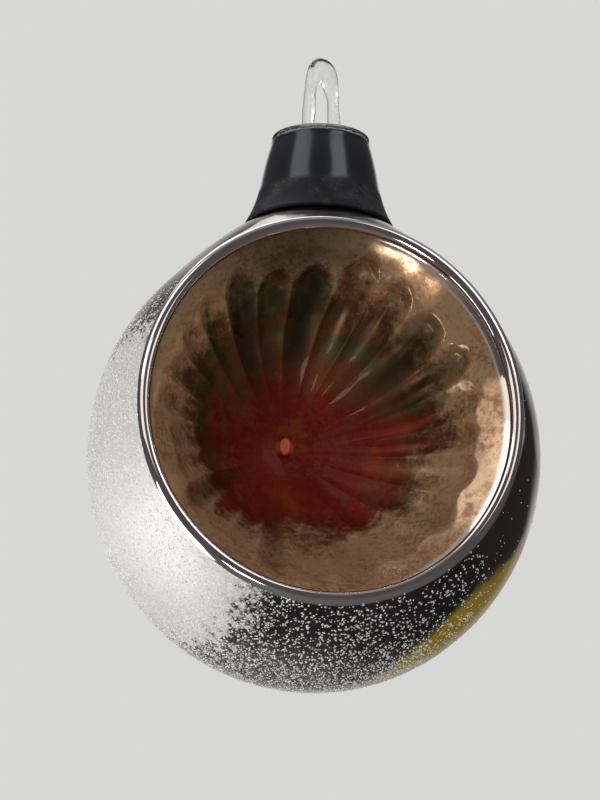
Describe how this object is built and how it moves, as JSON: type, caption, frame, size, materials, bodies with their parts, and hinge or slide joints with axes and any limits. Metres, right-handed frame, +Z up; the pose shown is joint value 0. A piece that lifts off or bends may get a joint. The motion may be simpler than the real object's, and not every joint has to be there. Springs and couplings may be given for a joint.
{
  "type": "indent reflector ball ornament",
  "caption": "Hanging silvered-glass ball with a deep fluted concave reflector pressed into its front, a black bell-shaped neck cap and a clear glass loop that turns in it.",
  "frame": {"origin": "highest point of the hanging loop's eye, where a hook bears", "axes": "+Z up along the neck, -Y the way the reflector opens, +X to the right of someone looking into the reflector"},
  "size_m": [0.0606, 0.0474, 0.088],
  "materials": {
    "silvered_glass": "silvered blown glass, tarnished, with a yellow lacquer band at the lower right",
    "lacquered_reflector": "silvered fluted glass, red lacquer at the middle fading to olive and champagne",
    "silver_coat": "silver film behind the glass",
    "mica_frost": "glued mica flakes",
    "black_cap": "glossy black, dusty towards the skirt",
    "cork": "cork sheet",
    "clear_glass": "clear, hand drawn"
  },
  "bodies": {
    "ball": {"ball_shell": "silvered_glass", "reflector_dish": "lacquered_reflector", "ball_silvering": "silver_coat", "reflector_silvering": "silver_coat", "frost_coat": "mica_frost"},
    "cap": {"neck_cap": "black_cap", "grip_sleeve": "cork"},
    "loop": {"hanging_loop": "clear_glass"}
  },
  "joints": [
    {"name": "cap_pull", "type": "slide", "parent": "ball", "child": "cap", "axis": [0, 0, 1], "range_m": [0, 0.012]},
    {"name": "loop_swivel", "type": "hinge", "parent": "cap", "child": "loop", "pos_m": [0, 0, -0.0083], "axis": [0, 0, 1], "continuous": true}
  ]
}
